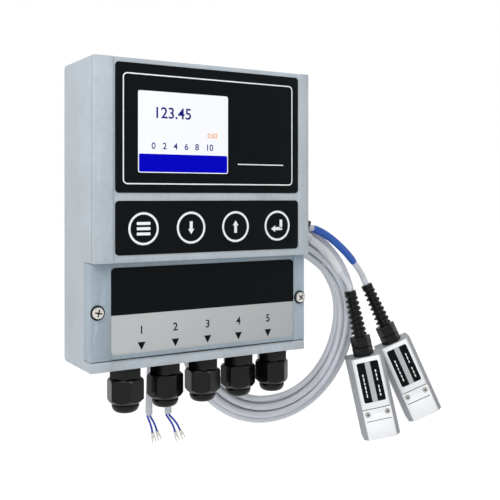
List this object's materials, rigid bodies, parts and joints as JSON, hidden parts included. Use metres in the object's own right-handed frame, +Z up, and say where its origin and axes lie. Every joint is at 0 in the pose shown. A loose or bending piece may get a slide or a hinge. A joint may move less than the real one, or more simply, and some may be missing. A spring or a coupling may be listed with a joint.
{
  "type": "clamp-on ultrasonic flow meter",
  "caption": "Wall-mounted flow meter: grey housing with display and keys, cable glands, and clamp-on transducers on coiled cables with ribbed strain reliefs.",
  "frame": {"origin": "the point of the wall face that is the middle of the bracket's four wall holes, level with the middle of the housing", "axes": "+X runs to the right of a person facing the display, +Y points into the wall and +Z is up; the wall is the plane Y = 0 and the display faces -Y"},
  "size_m": [0.3352, 0.0755, 0.2919],
  "materials": {
    "housing_paint": "satin powder coat",
    "cover_paint": "satin powder coat",
    "black_film": "smooth printed film",
    "label_silver": "brushed foil label with print",
    "screen_glass": "clear pane over the display",
    "screen_white": "lit display",
    "black_rubber": "matt",
    "black_nylon": "moulded nylon",
    "screw_steel": "zinc plated",
    "zinc_plate": "galvanised sheet",
    "board_green": "solder mask",
    "terminal_green": "moulded",
    "cable_grey": "smooth PVC jacket",
    "sleeve_white": "shrink sleeve",
    "sleeve_blue": "shrink sleeve",
    "wire_blue": "wire insulation",
    "tinned_copper": "tinned lugs",
    "sensor_metal": "bead blasted",
    "ceramic": "ceramic element"
  },
  "bodies": {
    "housing": {"rear_housing": "housing_paint", "front_panel": "housing_paint", "front_gasket": "black_rubber", "panel_screws": "screw_steel", "display_overlay": "black_film", "display_window": "screen_glass", "keypad_overlay": "black_film", "key_switches": "black_nylon", "lcd_module": "screen_white", "display_board": "board_green", "ribbon_cable": "cable_grey", "main_board": "board_green", "board_screws": "screw_steel", "board_components": "black_nylon", "power_module": "black_nylon", "terminal_blocks": "terminal_green", "gland_bodies": "black_nylon", "gland_seals": "black_rubber", "gland_locknuts": "black_nylon", "wall_bracket": "zinc_plate", "bracket_standoffs": "zinc_plate", "standoff_screws": "screw_steel", "cable_hanger": "zinc_plate", "coil_tie": "black_rubber", "sensor_body_up": "sensor_metal", "sensor_body_down": "sensor_metal", "sensor_cap_up": "sensor_metal", "sensor_cap_down": "sensor_metal", "sensor_label_up": "black_film", "sensor_label_down": "black_film", "sensor_screws": "screw_steel", "sensor_gland_up": "black_nylon", "sensor_gland_down": "black_nylon", "transducer_crystals": "ceramic", "coil_up": "cable_grey", "coil_down": "cable_grey", "lead_up": "cable_grey", "lead_down": "cable_grey", "sleeve_up": "sleeve_white", "sleeve_down": "sleeve_blue", "tail_up": "cable_grey", "tail_down": "cable_grey", "tail_wires": "wire_blue", "cable_lugs": "tinned_copper"},
    "menu_key": {"key_menu": "black_film"},
    "down_key": {"key_down": "black_film"},
    "up_key": {"key_up": "black_film"},
    "enter_key": {"key_enter": "black_film"},
    "cover": {"terminal_cover": "cover_paint", "terminal_label": "label_silver", "cover_screw_left": "screw_steel", "cover_screw_right": "screw_steel", "cover_washers": "black_rubber"},
    "nut_1": {"gland_nut_1": "black_nylon"},
    "nut_2": {"gland_nut_2": "black_nylon"},
    "nut_3": {"gland_nut_3": "black_nylon"},
    "nut_4": {"gland_nut_4": "black_nylon"},
    "nut_5": {"gland_nut_5": "black_nylon"},
    "relief_up": {"relief_nut_up": "black_nylon"},
    "relief_down": {"relief_nut_down": "black_nylon"}
  },
  "joints": [
    {"name": "press_menu", "type": "slide", "parent": "housing", "child": "menu_key", "axis": [0, 1, 0], "range_m": [0, 0.0004], "stiffness_N_per_m": 4000, "springref_m": -0.0001},
    {"name": "press_down", "type": "slide", "parent": "housing", "child": "down_key", "axis": [0, 1, 0], "range_m": [0, 0.0004], "stiffness_N_per_m": 4000, "springref_m": -0.0001},
    {"name": "press_up", "type": "slide", "parent": "housing", "child": "up_key", "axis": [0, 1, 0], "range_m": [0, 0.0004], "stiffness_N_per_m": 4000, "springref_m": -0.0001},
    {"name": "press_enter", "type": "slide", "parent": "housing", "child": "enter_key", "axis": [0, 1, 0], "range_m": [0, 0.0004], "stiffness_N_per_m": 4000, "springref_m": -0.0001},
    {"name": "cover_lift", "type": "slide", "parent": "housing", "child": "cover", "axis": [0, -1, 0], "range_m": [0, 0.06]},
    {"name": "turn_nut_1", "type": "hinge", "parent": "housing", "child": "nut_1", "pos_m": [-0.0533, -0.0563, -0.117], "axis": [0, 0, -1], "range_deg": [0, 180]},
    {"name": "turn_nut_2", "type": "hinge", "parent": "housing", "child": "nut_2", "pos_m": [-0.0243, -0.0563, -0.117], "axis": [0, 0, -1], "range_deg": [0, 180]},
    {"name": "turn_nut_3", "type": "hinge", "parent": "housing", "child": "nut_3", "pos_m": [0.0047, -0.0563, -0.117], "axis": [0, 0, -1], "range_deg": [0, 180]},
    {"name": "turn_nut_4", "type": "hinge", "parent": "housing", "child": "nut_4", "pos_m": [0.0337, -0.0563, -0.117], "axis": [0, 0, -1], "range_deg": [0, 180]},
    {"name": "turn_nut_5", "type": "hinge", "parent": "housing", "child": "nut_5", "pos_m": [0.0627, -0.0563, -0.117], "axis": [0, 0, -1], "range_deg": [0, 180]},
    {"name": "turn_relief_up", "type": "hinge", "parent": "housing", "child": "relief_up", "pos_m": [0.1688, -0.03016, -0.10952], "axis": [-0.1818, 0.111, 0.977], "range_deg": [0, 180]},
    {"name": "turn_relief_down", "type": "hinge", "parent": "housing", "child": "relief_down", "pos_m": [0.20651, -0.01896, -0.10453], "axis": [-0.3499, 0.2136, 0.9121], "range_deg": [0, 180]}
  ]
}
